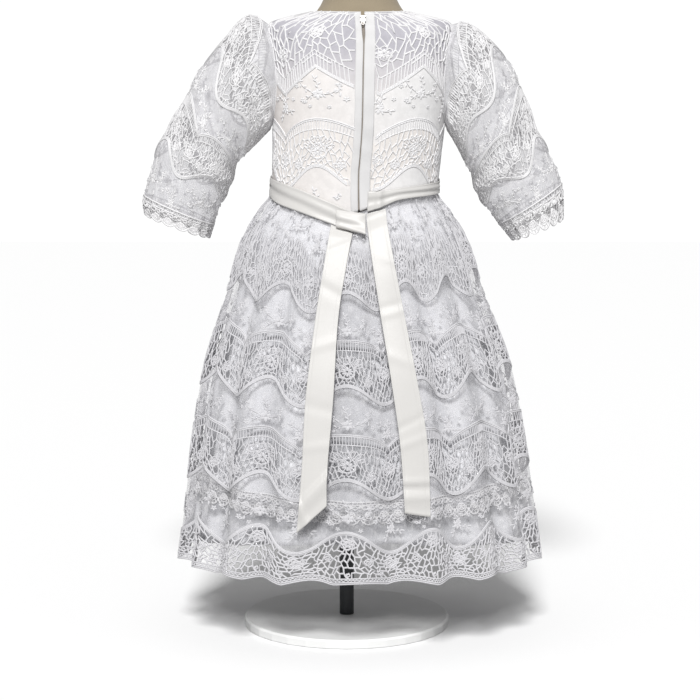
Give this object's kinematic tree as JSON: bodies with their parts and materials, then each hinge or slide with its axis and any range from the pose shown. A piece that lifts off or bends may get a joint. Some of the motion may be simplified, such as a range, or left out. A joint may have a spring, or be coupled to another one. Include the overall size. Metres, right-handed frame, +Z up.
{
  "type": "baby lace dress on a limbless dress form with a stand",
  "caption": "Child's white lace dress with elbow sleeves, satin sash and back zip, filled out on a limbless dress form with a pole and a round base.",
  "frame": {"origin": "centre of the round base's underside, on the floor", "axes": "+Z up along the pole; the dress's back faces -Y and its front +Y; +X is the wearer's right"},
  "size_m": [0.4581, 0.3194, 0.7335],
  "materials": {
    "lace_white": "white corded cotton lace on net, matt",
    "lining_cloth": "plain white lining, matt",
    "satin": "white satin ribbon, soft sheen",
    "zip_plastic": "fine coil zip, grey beige",
    "zip_metal": "painted die-cast slider and tab",
    "form_cover": "stretched greige jersey cover, matt",
    "pole_paint": "black powder coat, satin",
    "base_paint": "white powder coat, satin"
  },
  "bodies": {
    "dress_on_form": {"form_torso": "form_cover", "stand_pole": "pole_paint", "stand_base": "base_paint", "bodice_front": "lace_white", "bodice_back_left": "lace_white", "bodice_back_right": "lace_white", "sleeve_left_back": "lace_white", "sleeve_left_front": "lace_white", "sleeve_right_back": "lace_white", "sleeve_right_front": "lace_white", "cuff_lace_left": "lace_white", "cuff_lace_right": "lace_white", "skirt_lace_back": "lace_white", "skirt_lace_front": "lace_white", "skirt_lining": "lining_cloth", "lining_lace_edge": "lace_white", "sash_front": "satin", "sash_wing_left": "satin", "sash_wing_right": "satin", "sash_knot": "satin", "sash_tail_left": "satin", "sash_tail_right": "satin", "zip_chain": "zip_plastic", "zip_slider": "zip_metal"},
    "zip_pull": {"zip_pull": "zip_metal"}
  },
  "joints": [
    {"name": "zip_pull_swing", "type": "hinge", "parent": "dress_on_form", "child": "zip_pull", "pos_m": [0.01738, -0.0555, 0.6723], "axis": [-1, 0, 0], "range_deg": [0, 120]}
  ]
}
